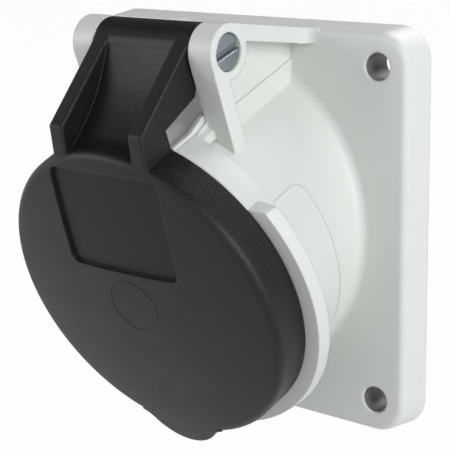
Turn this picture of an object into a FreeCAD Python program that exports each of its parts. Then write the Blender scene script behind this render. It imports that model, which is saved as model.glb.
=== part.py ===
# Industrial panel socket with a leaning spring lid, five contacts, lengths in millimetres.
# Frame: the panel is the plane y = 0, the socket stands out towards -Y, +Z is up,
# and the origin is the centre of the four fixing holes.
# Socket frame, used by most pieces: local Z runs out along the leaning socket axis,
# local Y runs up across it and local X is the same as X. A point's place along the
# axis is called its station.

import FreeCAD, Part
import math
import os
import re
import Sketcher

SIZES = [
    ("tilt", 20.0, "lean of the socket axis below the panel's normal, degrees"),
    ("axis_height", 4.0, "height at which the socket axis meets the panel"),
    ("flange_width", 85.0, "square flange, at its back"),
    ("flange_thickness", 8.0, "back to front face"),
    ("flange_draft", 5.2, "draft of the flange's sides, degrees"),
    ("flange_corner", 7.0, "corner radius of the flange"),
    ("flange_edge", 1.4, "rounding of the front edge"),
    ("flange_wall", 3.2, "front wall left in front of the hollow back"),
    ("flange_rim", 5.5, "width of the solid rim round the hollow back"),
    ("hole_pitch", 70.0, "fixing holes, both ways"),
    ("hole_diameter", 5.6, "fixing holes"),
    ("hole_boss", 12.0, "diameter of the boss behind each fixing hole"),
    ("hole_rim", 0.35, "chamfer at the mouth of a fixing hole"),
    ("gasket_inset", 1.7, "wall outside the gasket groove"),
    ("gasket_width", 2.2, "width of the panel gasket"),
    ("gasket_depth", 2.0, "depth of the panel gasket"),
    ("tube_radius", 31.3, "outside of the leaning tube"),
    ("tube_bore", 28.7, "inside of the leaning tube"),
    ("root_fillet", 2.2, "fillet between tube and flange"),
    ("mouth_chamfer", 0.8, "lead-in at the mouth of the bore"),
    ("collar_radius", 33.85, "band round the mouth"),
    ("collar_rear", 28.2, "station of the band's rear edge"),
    ("collar_front", 34.9, "station of the mouth's rim"),
    ("collar_edge", 0.4, "rounding of the band's front edge"),
    ("guard_radius", 37.3, "skirt under the lid, at its front face"),
    ("guard_flare", 0.6, "how much wider the skirt is at its rear"),
    ("guard_length", 2.9, "straight part of the skirt along the axis"),
    ("guard_slope", 1.6, "slope behind the skirt"),
    ("guard_top", 20.5, "height across the axis where the skirt ends"),
    ("key_width", 6.0, "keyway at the bottom of the bore"),
    ("key_depth", 1.5, "keyway at the bottom of the bore"),
    ("ledge_length", 4.0, "ledge at the bottom of the bore, behind station nought"),
    ("ledge_bore", 23.7, "opening of the ledge"),
    ("hinge_station", 19.15, "station of the hinge axis"),
    ("hinge_height", 44.92, "height of the hinge axis across the socket axis"),
    ("lug_inner", 12.54, "inner face of the hinge lugs"),
    ("lug_width", 5.51, "thickness of the hinge lugs"),
    ("lug_radius", 5.5, "round end of the hinge lugs"),
    ("leg_width", 3.85, "legs, along the socket axis"),
    ("leg_foot", 23.0, "height at which the legs end inside the tube's wall"),
    ("arm_rise", 7.7, "rise of the arms towards the hinge, degrees"),
    ("arm_thickness", 3.25, "thickness of the arms"),
    ("arm_root", 1.0, "how deep the arms end inside the flange's front wall"),
    ("web_thickness", 1.25, "wall between arm, leg and tube"),
    ("web_step", 0.35, "how much thicker the web is along the tube"),
    ("web_step_height", 32.1, "height across the axis where that step ends"),
    ("web_step_rear", -3.4, "station at which the step ends inside the flange"),
    ("web_blend", 1.7, "blend between the web and the tube"),
    ("arm_blend", 2.8, "blend between the arm and the flange"),
    ("rib_width", 1.76, "strip of the band that runs back to the leg"),
    ("slot_fin_width", 0.5, "small fin on that strip"),
    ("fin_rear_top", 32.5, "top of the fin at the leg"),
    ("fin_front_top", 31.4, "top of the fin at the band"),
    ("lip_gap", 0.14, "groove between the rib and the lip"),
    ("lip_width", 1.2, "raised lip inside the slot of the band"),
    ("lip_bend", 29.4, "station from which the lip rises to the rear"),
    ("lip_top_rear", 34.9, "top of the lip at its rear end"),
    ("lip_top_front", 32.1, "top of the lip at the rim"),
    ("screw_head_radius", 3.7, "hinge screw"),
    ("screw_head_height", 3.15, "hinge screw"),
    ("screw_recess_radius", 3.8, "recess for the head of the hinge screw"),
    ("screw_recess_depth", 3.4, "recess for the head of the hinge screw"),
    ("screw_slot_width", 1.2, "slot of the hinge screw"),
    ("screw_slot_depth", 1.0, "slot of the hinge screw"),
    ("screw_slot_turn", 18.0, "turn of the slot, degrees"),
    ("pin_radius", 2.0, "shank of the hinge screw"),
    ("pin_clearance", 0.06, "running clearance of the lid on the hinge screw"),
    ("nut_width", 7.0, "hinge nut across flats"),
    ("nut_height", 3.2, "hinge nut"),
    ("seat_clearance", 0.1, "clearance of pieces set in a pocket"),
    ("lid_rear", 35.2, "station of the lid's open rim"),
    ("lid_top", 45.84, "station of the lid's crown"),
    ("lid_dome", 237.0, "radius of the domed face"),
    ("lid_radius", 34.0, "lid at its front edge"),
    ("lid_rim_radius", 34.3, "lid at its open rim"),
    ("lid_edge", 2.0, "rounding of the lid's front edge"),
    ("lid_wall", 2.3, "thickness of the lid's face"),
    ("lid_gasket_outer", 31.7, "outside of the lid's seal"),
    ("lid_gasket_inner", 28.9, "inside of the lid's seal"),
    ("lid_gasket_height", 3.0, "thickness of the lid's seal"),
    ("lid_bead_width", 1.5, "bead that holds the seal from inside"),
    ("lid_bead_rear", 36.6, "station of that bead's free edge"),
    ("label_half_width", 14.2, "sunk label place"),
    ("label_bottom", 7.9, "sunk label place"),
    ("label_top", 29.85, "sunk label place"),
    ("label_corner", 2.0, "sunk label place"),
    ("label_depth", 0.8, "sunk label place"),
    ("tab_radius", 10.5, "thumb tab at the bottom of the lid"),
    ("tab_reach", 38.0, "how far the thumb tab reaches below the axis"),
    ("tab_rear", 39.8, "station of the thumb tab's rear face"),
    ("tab_root", 6.0, "blend between the thumb tab and the lid's side"),
    ("tab_drop", 0.03, "thumb tab's face below the domed face"),
    ("lid_lap", 0.3, "how deep the thumb tab enters the lid's wall"),
    ("tab_edge", 0.8, "rounding of the thumb tab's front edge"),
    ("hook_half_width", 12.2, "outer faces of the lid's arm"),
    ("hook_inner", 8.6, "inner faces of the arm's ribs"),
    ("hook_crown_station", 41.9, "front top corner of the ribs"),
    ("hook_crown_height", 38.3, "front top corner of the ribs"),
    ("hook_foot_station", 43.2, "foot of the ribs' front face"),
    ("hook_foot_height", 32.2, "foot of the ribs' front face"),
    ("hook_root", 30.5, "height at which the arm ends inside the cap"),
    ("hook_sole_front", 36.1, "under side of the ribs above the cap's rim"),
    ("hook_sole_rear", 38.0, "under side of the ribs near the barrel"),
    ("hook_sole_station", 25.2, "station of that rear point"),
    ("hook_sole_turn", -35.0, "where the under side enters the barrel, degrees"),
    ("hook_edge", 0.6, "rounding of the ribs' edges"),
    ("hook_hollow_station", 28.9, "where the web turns from straight to hollow"),
    ("hook_hollow_height", 41.2, "where the web turns from straight to hollow"),
    ("hook_hollow_radius", 40.0, "hollow of the web"),
    ("hook_web_station", 42.4, "front end of the web"),
    ("hook_web_height", 32.5, "front end of the web"),
    ("hook_web_wall", 2.0, "thickness of the web"),
    ("hook_lap", 0.5, "how deep the web enters the ribs"),
    ("tangent_lead", 54.0, "where the web's top leaves the barrel, degrees"),
    ("web_under_turn", -18.0, "where the web's under side meets the barrel, degrees"),
    ("barrel_radius", 5.35, "hinge barrel of the lid"),
    ("barrel_pocket", 5.6, "half width of the spring's pocket"),
    ("barrel_skin", 1.2, "wall over the spring"),
    ("pocket_start", 150.0, "where the spring's pocket opens, degrees round the hinge"),
    ("pocket_end", 328.0, "where that opening ends, degrees round the hinge"),
    ("spring_radius", 3.1, "mean radius of the lid spring"),
    ("spring_wire", 1.0, "wire of the lid spring"),
    ("spring_half_width", 3.6, "middle of the outer turns"),
    ("spring_turns", 2.0, "whole turns of the lid spring"),
    ("spring_end_turn", 255.0, "part turn after those, degrees"),
    ("spring_knee", 1.03, "ball at each end of the coil, as a share of the wire"),
    ("spring_rest", 13.0, "leg that rests on the tube"),
    ("spring_reach", 8.0, "leg that reaches under the lid's arm"),
    ("carrier_radius", 23.3, "insulating block"),
    ("carrier_front", 24.0, "station of the block's face"),
    ("carrier_edge", 0.8, "chamfer of the block's face"),
    ("retainer_radius", 27.9, "plate behind the block and the ledge"),
    ("retainer_length", 3.0, "plate behind the block and the ledge"),
    ("fin_length", 10.0, "fins between the terminals"),
    ("fin_width", 1.6, "fins between the terminals"),
    ("fin_reach", 23.0, "fins between the terminals"),
    ("fin_start", 4.0, "inner end of the fins, clear of the centre screw"),
    ("contact_circle", 15.4, "radius on which the contacts stand"),
    ("earth_turn", 240.0, "place of the earth contact, degrees from +X"),
    ("contact_bore", 2.55, "live and neutral sleeves"),
    ("earth_bore", 3.05, "earth sleeve"),
    ("contact_wall", 0.95, "wall of the sleeves"),
    ("contact_front", 20.9, "station of the sleeves' mouths"),
    ("contact_bore_end", 1.0, "station at which the bores end"),
    ("contact_slit", 1.0, "slit that lets a sleeve spring"),
    ("contact_slit_end", 10.0, "station at which the slit ends"),
    ("collar_step", 0.9, "shoulder of a sleeve behind the plate"),
    ("terminal_radius", 4.6, "terminal end of a sleeve"),
    ("terminal_length", 8.5, "terminal end of a sleeve"),
    ("wire_radius", 1.9, "wire hole of a terminal"),
    ("wire_depth", 7.5, "wire hole of a terminal"),
    ("clip_station", 17.5, "spring ring round a sleeve"),
    ("clip_length", 2.6, "spring ring round a sleeve"),
    ("clip_wall", 0.6, "spring ring round a sleeve"),
    ("clip_gap", 1.6, "gap of the spring ring"),
    ("entry_clearance", 0.45, "contact entries in the block's face"),
    ("terminal_screw_radius", 1.5, "terminal screws"),
    ("terminal_screw_tip", 1.2, "tip of the terminal screws, from the contact's middle"),
    ("terminal_screw_stand", 0.6, "terminal screws outside the terminals"),
    ("terminal_screw_place", 4.0, "from the terminal's rear end"),
    ("carrier_screw_circle", 26.0, "screws that hold the block"),
    ("carrier_screw_radius", 1.1, "screws that hold the block"),
    ("carrier_screw_head", 1.9, "head radius of those screws"),
    ("carrier_screw_head_height", 1.4, "head of those screws"),
    ("carrier_screw_grip", 3.0, "length inside the ledge"),
    ("centre_screw_radius", 1.5, "screw that draws cover, block and plate together"),
    ("centre_screw_head", 2.8, "head radius of that screw"),
    ("centre_screw_head_height", 2.0, "head of that screw"),
    ("centre_screw_grip", 2.0, "length inside the cover"),
    ("screw_play", 0.04, "radial room of a plain shank in its threaded hole"),
    ("clip_play", 0.03, "radial room between a spring ring and its sleeve"),
    ("overrun", 2.0, "how far a cutting shape passes a face"),
]

doc = FreeCAD.newDocument("PanelSocket")
sheet = doc.addObject("Spreadsheet::Sheet", "Sizes")
for row, (alias, amount, note) in enumerate(SIZES, start=1):
    sheet.set(f"A{row}", alias.replace("_", " "))
    sheet.set(f"B{row}", str(amount))
    sheet.setAlias(f"B{row}", alias)
    sheet.set(f"C{row}", note)
doc.recompute()

ALIAS = re.compile(r"\b(" + "|".join(alias for alias, amount, note in SIZES) + r")\b")
X_AXIS = FreeCAD.Vector(1, 0, 0)
Y_AXIS = FreeCAD.Vector(0, 1, 0)
Z_AXIS = FreeCAD.Vector(0, 0, 1)
CENTRE = FreeCAD.Vector(0, 0, 0)

HINGE_Y = "(-(hinge_station * cos(tilt) + hinge_height * sin(tilt)))"
HINGE_Z = "(axis_height - hinge_station * sin(tilt) + hinge_height * cos(tilt))"
LUG_OUTER = "(lug_inner + lug_width)"
LEG_FRONT = "(hinge_station + lug_radius)"
LEG_REAR = "(hinge_station + lug_radius - leg_width)"
LEDGE_REAR = "(-ledge_length)"
RETAINER_REAR = "(-ledge_length - retainer_length)"
COVER_REAR = "(contact_front + seat_clearance)"
DOME_CENTRE = "(lid_top - lid_dome)"
GASKET_OUTER = "flange_width / 2 - gasket_inset"
GASKET_INNER = "flange_width / 2 - gasket_inset - gasket_width"
POCKET_SIDES = 4
CONTACTS = ["earth", "l1", "l2", "l3", "n"]
STEP = 360 / len(CONTACTS)
HALF_STEP = STEP / 2


def bound(formula):
    """The same formula as an expression that reads the sheet."""
    return ALIAS.sub(lambda found: "Sizes." + found.group(0), formula)


def value(formula):
    """What a formula comes to now."""
    return float(sheet.evalExpression(formula))


def bind(thing, **formulas):
    for name, formula in formulas.items():
        thing.setExpression(name, bound(formula))
    return thing


def origin_plane(body, role):
    return [feature for feature in body.Origin.OriginFeatures if feature.Role == role][0]


def in_socket_frame(thing, across="0", height="0", station="0"):
    """Stands a thing on the leaning axis, at a place given in the socket frame."""
    lean = FreeCAD.Rotation(X_AXIS, 90 + value("tilt"))
    thing.Placement = FreeCAD.Placement(CENTRE, lean)
    along = f"-(({station}) * cos(tilt) + ({height}) * sin(tilt))"
    upward = f"axis_height - ({station}) * sin(tilt) + ({height}) * cos(tilt)"
    thing.setExpression("Placement.Base.x", bound(f"{across} + 0 * tilt"))
    thing.setExpression("Placement.Base.y", bound(along))
    thing.setExpression("Placement.Base.z", bound(upward))
    thing.setExpression("Placement.Rotation.Angle", bound("90 + tilt"))
    return thing


def on_hinge(thing, across):
    """Lays a thing along the hinge axis, its local Z towards +X, starting at across."""
    thing.Placement = FreeCAD.Placement(CENTRE, FreeCAD.Rotation(Y_AXIS, 90))
    thing.setExpression("Placement.Base.x", bound(across))
    thing.setExpression("Placement.Base.y", bound(HINGE_Y))
    thing.setExpression("Placement.Base.z", bound(HINGE_Z))
    return thing


def new_body(name):
    body = doc.addObject("PartDesign::Body", name)
    body.AllowCompound = True
    return body


def hold(sketch, edge, end, kind, formula):
    """Holds one corner at a bound distance, or on the axis where the distance is nought."""
    if formula == "0":
        axis = -2 if kind == "DistanceX" else -1
        sketch.addConstraint(Sketcher.Constraint("PointOnObject", edge, end, axis))
        return
    place = Sketcher.Constraint(kind, -1, 1, edge, end, value(formula))
    index = sketch.addConstraint(place)
    sketch.setExpression(f"Constraints[{index}]", bound(formula))


def arc_between(start, end, radius, left):
    """The short arc from start to end, with its centre on the left or the right."""
    chord = end - start
    half = chord.Length / 2
    side = FreeCAD.Vector(-chord.y, chord.x, 0).normalize()
    drop = math.sqrt(max(radius ** 2 - half ** 2, 0.0))
    centre = (start + end) * 0.5 + side * (drop if left else -drop)
    first, last = (start, end) if left else (end, start)
    angles = [math.atan2(point.y - centre.y, point.x - centre.x) for point in (first, last)]
    return Part.ArcOfCircle(Part.Circle(centre, Z_AXIS, radius), angles[0], angles[1])


def outline(body, name, plane, corners, arcs=None, offset=None):
    """A closed outline on one of the body's own planes. arcs: edge number to radius, side."""
    arcs = arcs or {}
    sketch = body.newObject("Sketcher::SketchObject", name)
    sketch.AttachmentSupport = [(origin_plane(body, plane), "")]
    sketch.MapMode = "FlatFace"
    if offset:
        sketch.setExpression("AttachmentOffset.Base.z", bound(offset))
    places = [FreeCAD.Vector(value(across), value(up), 0) for across, up in corners]
    count = len(places)
    ends = []
    for edge in range(count):
        start, end = places[edge], places[(edge + 1) % count]
        if edge in arcs:
            radius, left = arcs[edge]
            sketch.addGeometry(arc_between(start, end, value(radius), left), False)
            ends.append((1, 2) if left else (2, 1))
        else:
            sketch.addGeometry(Part.LineSegment(start, end), False)
            ends.append((1, 2))
    for edge in range(count):
        following = (edge + 1) % count
        joined = Sketcher.Constraint("Coincident", edge, ends[edge][1], following, ends[following][0])
        sketch.addConstraint(joined)
    for edge, (across, up) in enumerate(corners):
        hold(sketch, edge, ends[edge][0], "DistanceX", across)
        hold(sketch, edge, ends[edge][0], "DistanceY", up)
    for edge, (radius, left) in arcs.items():
        index = sketch.addConstraint(Sketcher.Constraint("Radius", edge, value(radius)))
        sketch.setExpression(f"Constraints[{index}]", bound(radius))
    return sketch


def pad(body, name, sketch, length, **more):
    feature = body.newObject("PartDesign::Pad", name)
    feature.Profile = sketch
    return bind(feature, Length=length, **more)


def turned(name, corners, arcs=None):
    """A body turned round its local Z from an outline of radius and station."""
    body = new_body(name)
    sketch = outline(body, name + "_profile", "YZ_Plane", corners, arcs)
    feature = body.newObject("PartDesign::Revolution", name + "_turn")
    feature.Profile = sketch
    feature.ReferenceAxis = (sketch, ["V_Axis"])
    feature.Angle = 360
    return body


def plate_across(name, corners, start, width, arcs=None):
    """A body padded along X from start, from an outline on the YZ plane."""
    body = new_body(name)
    sketch = outline(body, name + "_outline", "YZ_Plane", corners, arcs, offset=start)
    pad(body, name + "_pad", sketch, width)
    return body


def cylinder(name, radius, length):
    return bind(doc.addObject("Part::Cylinder", name), Radius=radius, Height=length)


def box(name, length, width, height):
    return bind(doc.addObject("Part::Box", name), Length=length, Width=width, Height=height)


def block(name, low, high):
    """A box between two corners, in the part's own frame."""
    sides = [f"({top}) - ({bottom})" for bottom, top in zip(low, high)]
    thing = box(name, *sides)
    for letter, bottom in zip("xyz", low):
        thing.setExpression("Placement.Base." + letter, bound(f"({bottom}) + 0 * tilt"))
    return thing


def socket_block(name, low, high):
    """A box between two corners given in the socket frame."""
    sides = [f"({top}) - ({bottom})" for bottom, top in zip(low, high)]
    return in_socket_frame(box(name, *sides), *low)


def fuse(name, *things):
    feature = doc.addObject("Part::MultiFuse", name)
    feature.Shapes = list(things)
    return feature


def cut(name, base, *tools):
    feature = doc.addObject("Part::Cut", name)
    feature.Base = base
    feature.Tool = tools[0] if len(tools) == 1 else fuse(name + "_tools", *tools)
    return feature


def common(name, *things):
    feature = doc.addObject("Part::MultiCommon", name)
    feature.Shapes = list(things)
    return feature


def mirrored(name, thing):
    """The same thing on the other side of the middle plane."""
    feature = doc.addObject("Part::Mirroring", name)
    feature.Source = thing
    feature.Normal = X_AXIS
    feature.Base = CENTRE
    return feature


def middle_of(edge):
    return edge.valueAt((edge.FirstParameter + edge.LastParameter) / 2)


def seen_from_axis(point):
    """Height across the axis and station of a point of a placed shape."""
    lean = math.radians(value("tilt"))
    rise = point.z - value("axis_height")
    height = rise * math.cos(lean) - point.y * math.sin(lean)
    station = -rise * math.sin(lean) - point.y * math.cos(lean)
    return height, station


def chosen_edges(shape, test):
    return [number for number, edge in enumerate(shape.Edges, start=1) if test(edge)]


def rounded(body, name, base, radius, test):
    """Rounds the edges of a body's feature that pass the test."""
    doc.recompute()
    feature = body.newObject("PartDesign::Fillet", name)
    feature.Base = (base, [f"Edge{number}" for number in chosen_edges(base.Shape, test)])
    return bind(feature, Radius=radius)


def part_fillet(name, base, radius, test):
    """Rounds the chosen edges of a joined shape."""
    doc.recompute()
    feature = doc.addObject("Part::Fillet", name)
    feature.Base = base
    amount = value(radius)
    feature.Edges = [(number, amount, amount) for number in chosen_edges(base.Shape, test)]
    return feature


def repeated(name, places, make):
    """The same piece at several places, as one feature."""
    return fuse(name, *[make(number, *place) for number, place in enumerate(places, start=1)])


def flange():
    """Square drafted flange with rounded corners and a rounded front edge."""
    body = new_body("flange_block")
    half = "flange_width / 2"
    corners = [(f"-{half}", f"-{half}"), (half, f"-{half}"), (half, half), (f"-{half}", half)]
    sketch = outline(body, "flange_outline", "XZ_Plane", corners)
    solid = pad(body, "flange_pad", sketch, "flange_thickness", TaperAngle="-flange_draft")
    depth = value("flange_thickness")

    def upright(edge):
        return edge.BoundBox.YLength > depth / 2

    solid = rounded(body, "flange_corners", solid, "flange_corner", upright)

    def at_front(edge):
        return edge.BoundBox.YMax < -depth + 0.01

    rounded(body, "flange_front_edge", solid, "flange_edge", at_front)
    return body


def tube():
    """Leaning tube with the band round its mouth, still solid inside."""
    corners = [
        ("0", LEDGE_REAR),
        ("tube_radius", LEDGE_REAR),
        ("tube_radius", "collar_rear"),
        ("collar_radius", "collar_rear"),
        ("collar_radius", "collar_front"),
        ("0", "collar_front"),
    ]
    body = turned("tube_and_band", corners)
    wide = value("2 * collar_radius")

    def band_edge(edge):
        return edge.BoundBox.XLength > wide - 0.01

    rounded(body, "band_edges", body.Tip, "collar_edge", band_edge)
    return in_socket_frame(body)


def flange_and_tube():
    joined = fuse("flange_and_tube", flange(), tube())
    front = -value("flange_thickness")
    reach = value("flange_width") * 0.45

    def root(edge):
        box_of = edge.BoundBox
        flat = abs(box_of.YMin - front) < 0.01 and abs(box_of.YMax - front) < 0.01
        return flat and box_of.XMax < reach and box_of.XLength > reach / 2

    return part_fillet("tube_root", joined, "root_fillet", root)


def band_slot():
    """What the band loses at the top, where the lid's arm passes."""
    low = ("-lug_inner", "hook_half_width", "collar_rear - overrun")
    high = ("lug_inner", "collar_radius + overrun", "collar_front + overrun")
    window = socket_block("slot_window", low, high)
    core = cylinder("slot_core", "tube_radius", "collar_front - collar_rear + 4 * overrun")
    in_socket_frame(core, station="collar_rear - 2 * overrun")
    return cut("band_slot", window, core)


def guard():
    """Skirt under the lid, from one side round the bottom to the other."""
    corners = [
        ("tube_bore + 1", "collar_front"),
        ("guard_radius", "collar_front"),
        ("guard_radius + guard_flare", "collar_front - guard_length"),
        ("tube_bore + 1", "collar_front - guard_length - guard_slope"),
    ]
    ring = in_socket_frame(turned("guard_ring", corners))
    low = ("-flange_width", "-flange_width", "collar_rear")
    high = ("flange_width", "guard_top", "collar_front + overrun")
    return common("guard", ring, socket_block("guard_side", low, high))


def arm_height(along, offset):
    """Height of a line of the arm above a place along Y."""
    return f"({HINGE_Z} + ({offset}) / cos(arm_rise) - tan(arm_rise) * (({along}) - {HINGE_Y}))"


def arm_blend():
    """Hollow blend from the arm's outer side to the front of the flange."""
    inner, outer = LUG_OUTER, f"{LUG_OUTER} + arm_blend"
    front, sunk = "-flange_thickness", "arm_root - flange_thickness"
    corners = [
        (inner, f"{front} - arm_blend"),
        (outer, front),
        (outer, sunk),
        (f"{inner} - arm_blend", sunk),
        (f"{inner} - arm_blend", f"{front} - arm_blend"),
    ]
    body = new_body("arm_blend")
    low = arm_height(f"({front} - arm_blend / 2)", "lug_radius - arm_thickness")
    arcs = {0: ("arm_blend", False)}
    sketch = outline(body, "arm_blend_outline", "XY_Plane", corners, arcs, offset=low)
    pad(body, "arm_blend_pad", sketch, "arm_thickness / cos(arm_rise)")
    return body


def web_foot():
    """Hollow blend between the web's thicker foot and the tube."""
    wall = "(lug_inner + web_thickness + web_step)"
    centre_x = f"({wall} + web_blend)"
    centre_v = f"sqrt((tube_radius + web_blend)^2 - {centre_x}^2)"
    share = "tube_radius / (tube_radius + web_blend)"
    inside = f"({wall} - web_step)"
    corners = [
        (wall, centre_v),
        (f"{centre_x} * {share}", f"{centre_v} * {share}"),
        (f"{centre_x} * {share}", f"{centre_v} * {share} - web_step"),
        (inside, f"{centre_v} * {share} - web_step"),
        (inside, centre_v),
    ]
    body = new_body("web_foot")
    start = "-ledge_length"
    sketch = outline(body, "web_foot_outline", "XY_Plane", corners, {0: ("web_blend", True)}, offset=start)
    pad(body, "web_foot_pad", sketch, f"{LEG_REAR} + leg_width / 2 + ledge_length")
    return in_socket_frame(body)


def lug():
    """One hinge lug: round end, leg down to the tube, arm back to the flange, thin web."""
    boss = on_hinge(cylinder("lug_boss", "lug_radius", "lug_width"), "lug_inner")
    low = ("lug_inner", "leg_foot", LEG_REAR)
    high = (LUG_OUTER, "hinge_height", LEG_FRONT)
    leg = socket_block("lug_leg", low, high)
    root = "(arm_root - flange_thickness)"
    arm_corners = [
        (root, arm_height(root, "lug_radius - arm_thickness")),
        (root, arm_height(root, "lug_radius")),
        (HINGE_Y, arm_height(HINGE_Y, "lug_radius")),
        (HINGE_Y, arm_height(HINGE_Y, "lug_radius - arm_thickness")),
    ]
    arm = plate_across("lug_arm", arm_corners, "lug_inner", "lug_width")
    leg_middle = f"({LEG_FRONT} - leg_width / 2)"
    wall_middle = "((tube_radius + tube_bore) / 2)"
    sunk = f"sqrt({wall_middle}^2 - (lug_inner + web_thickness + web_step)^2)"
    web_corners = [
        (root, wall_middle),
        (root, arm_height(root, "lug_radius - arm_thickness / 2")),
        (HINGE_Y, arm_height(HINGE_Y, "lug_radius - arm_thickness / 2")),
        (
            f"-({leg_middle} * cos(tilt) + {sunk} * sin(tilt))",
            f"axis_height - {leg_middle} * sin(tilt) + {sunk} * cos(tilt)",
        ),
    ]
    web = plate_across("lug_web", web_corners, "lug_inner", "web_thickness")
    step_high = ("lug_inner + web_thickness + web_step", "web_step_height", leg_middle)
    step = socket_block("web_step_block", ("lug_inner", sunk, "web_step_rear"), step_high)
    return fuse("lug", boss, leg, arm, web, step, web_foot(), arm_blend())


def slot_wall():
    """The band carried back to the leg, with a small fin on it, and the raised lip beside it."""
    low = ("lug_inner", "tube_bore", f"{LEG_FRONT} - rib_width / 2")
    high = ("lug_inner + rib_width", "collar_radius", "collar_front - collar_edge")
    core = in_socket_frame(cylinder("slot_bridge_core", "collar_radius", "collar_front"))
    bridge = common("slot_bridge", socket_block("slot_bridge_block", low, high), core)
    fin_corners = [
        ("tube_bore", f"{LEG_FRONT} - rib_width / 2"),
        ("fin_rear_top", f"{LEG_FRONT} - rib_width / 2"),
        ("fin_front_top", "collar_rear"),
        ("tube_bore", "collar_rear"),
    ]
    fin = in_socket_frame(plate_across("slot_fin", fin_corners, "lug_inner", "slot_fin_width"))
    lip_corners = [
        ("tube_bore", LEG_REAR),
        ("lip_top_rear", LEG_REAR),
        ("lip_top_front", "lip_bend"),
        ("lip_top_front", "collar_front"),
        ("tube_bore", "collar_front"),
    ]
    start = "lug_inner - lip_gap - lip_width"
    lip = in_socket_frame(plate_across("slot_lip", lip_corners, start, "lip_width"))
    return fuse("slot_wall", bridge, fin, lip)


def socket_bore():
    """Everything that is hollow along the socket axis."""
    out = "collar_front + overrun"
    corners = [
        ("0", "-tube_radius"),
        ("tube_bore", "-tube_radius"),
        ("tube_bore", LEDGE_REAR),
        ("ledge_bore", LEDGE_REAR),
        ("ledge_bore", "0"),
        ("tube_bore", "0"),
        ("tube_bore", "collar_front - mouth_chamfer"),
        ("tube_bore + mouth_chamfer + overrun", out),
        ("0", out),
    ]
    return in_socket_frame(turned("socket_bore", corners))


def keyway():
    low = ("-key_width / 2", "-tube_bore - key_depth", "0")
    high = ("key_width / 2", "-ledge_bore", "collar_front + overrun")
    return socket_block("keyway", low, high)


def corner_places():
    near = "hole_pitch / 2"
    return [(f"{across}{near}", f"{up}{near}") for across in ("", "-") for up in ("", "-")]


def along_y(thing, across, start, up):
    """Turns a thing so that its local Z runs to the front, from a place on the flange."""
    thing.Placement = FreeCAD.Placement(CENTRE, FreeCAD.Rotation(X_AXIS, 90))
    thing.setExpression("Placement.Base.x", bound(f"({across}) + 0 * tilt"))
    thing.setExpression("Placement.Base.y", bound(f"({start}) + 0 * tilt"))
    thing.setExpression("Placement.Base.z", bound(f"({up}) + 0 * tilt"))
    return thing


def flange_hollow():
    """Hollow back of the flange, round the screw bosses and the tube."""
    edge = "flange_width / 2 - flange_rim"
    depth = "flange_thickness - flange_wall"
    low = (f"-({edge})", f"-({depth})", f"-({edge})")
    pocket = block("hollow_pocket", low, (edge, "overrun", edge))

    def boss(number, across, up):
        post = cylinder(f"hole_boss_{number}", "hole_boss / 2", f"{depth} + 2 * overrun")
        return along_y(post, across, "2 * overrun", up)

    bosses = repeated("hole_bosses", corner_places(), boss)
    sleeve = cylinder("tube_sleeve", "tube_radius", "2 * tube_radius")
    in_socket_frame(sleeve, station="-tube_radius")
    return cut("flange_hollow", pocket, bosses, sleeve)


def fixing_holes():
    def hole(number, across, up):
        radius = "hole_diameter / 2"
        front = "flange_thickness + overrun"
        shaft = along_y(cylinder(f"hole_{number}", radius, f"{front} + overrun"), across, "overrun", up)
        mouth = doc.addObject("Part::Cone", f"hole_mouth_{number}")
        bind(mouth, Radius1=radius, Radius2="hole_diameter / 2 + hole_rim * 2", Height="hole_rim * 2")
        along_y(mouth, across, "hole_rim - flange_thickness", up)
        return fuse(f"fixing_hole_{number}", shaft, mouth)

    return repeated("fixing_holes", corner_places(), hole)


def rounded_square(name, half, corner, depth, rise):
    """A square slab with round corners, from rise behind the back plane to depth in front."""
    body = new_body(name)
    low = f"-({half})"
    corners = [(low, low), (half, low), (half, half), (low, half)]
    sketch = outline(body, name + "_outline", "XZ_Plane", corners, offset=f"0 - ({rise})")
    solid = pad(body, name + "_pad", sketch, f"({depth}) + ({rise})")
    span = value(depth) / 2

    def upright(edge):
        return edge.BoundBox.YLength > span

    rounded(body, name + "_corners", solid, corner, upright)
    return body


def square_frame(name, rise):
    """The square ring of the panel seal, or of its groove."""
    corner = "flange_corner - gasket_inset"
    whole = rounded_square(name + "_outer", GASKET_OUTER, corner, "gasket_depth", rise)
    corner = "flange_corner - gasket_inset - gasket_width"
    depth = "gasket_depth + overrun"
    middle = rounded_square(name + "_inner", GASKET_INNER, corner, depth, "2 * overrun")
    return cut(name, whole, middle)


def hinge_bores():
    """Through hole, round recess for the screw head on the right, hexagon on the left."""
    through = cylinder("hinge_hole", "pin_radius + pin_clearance", "2 * " + LUG_OUTER)
    on_hinge(through, "-" + LUG_OUTER)
    recess = cylinder("head_recess", "screw_recess_radius", "screw_recess_depth + overrun")
    on_hinge(recess, LUG_OUTER + " - screw_recess_depth")
    pocket = doc.addObject("Part::Prism", "nut_pocket")
    pocket.Polygon = 6
    bind(pocket, Circumradius="(nut_width / 2 + seat_clearance) / cos(30)")
    bind(pocket, Height="nut_height + seat_clearance + overrun")
    on_hinge(pocket, f"-{LUG_OUTER} - overrun")
    return fuse("hinge_bores", through, recess, pocket)


def carrier_screw_places():
    return [("carrier_screw_circle", "0"), ("-carrier_screw_circle", "0")]


def ledge_holes():
    def hole(number, across, height):
        pilot = cylinder(f"ledge_hole_{number}", "carrier_screw_radius", "carrier_screw_grip + overrun")
        return in_socket_frame(pilot, across, height, LEDGE_REAR + " - overrun")

    return repeated("ledge_holes", carrier_screw_places(), hole)


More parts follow.
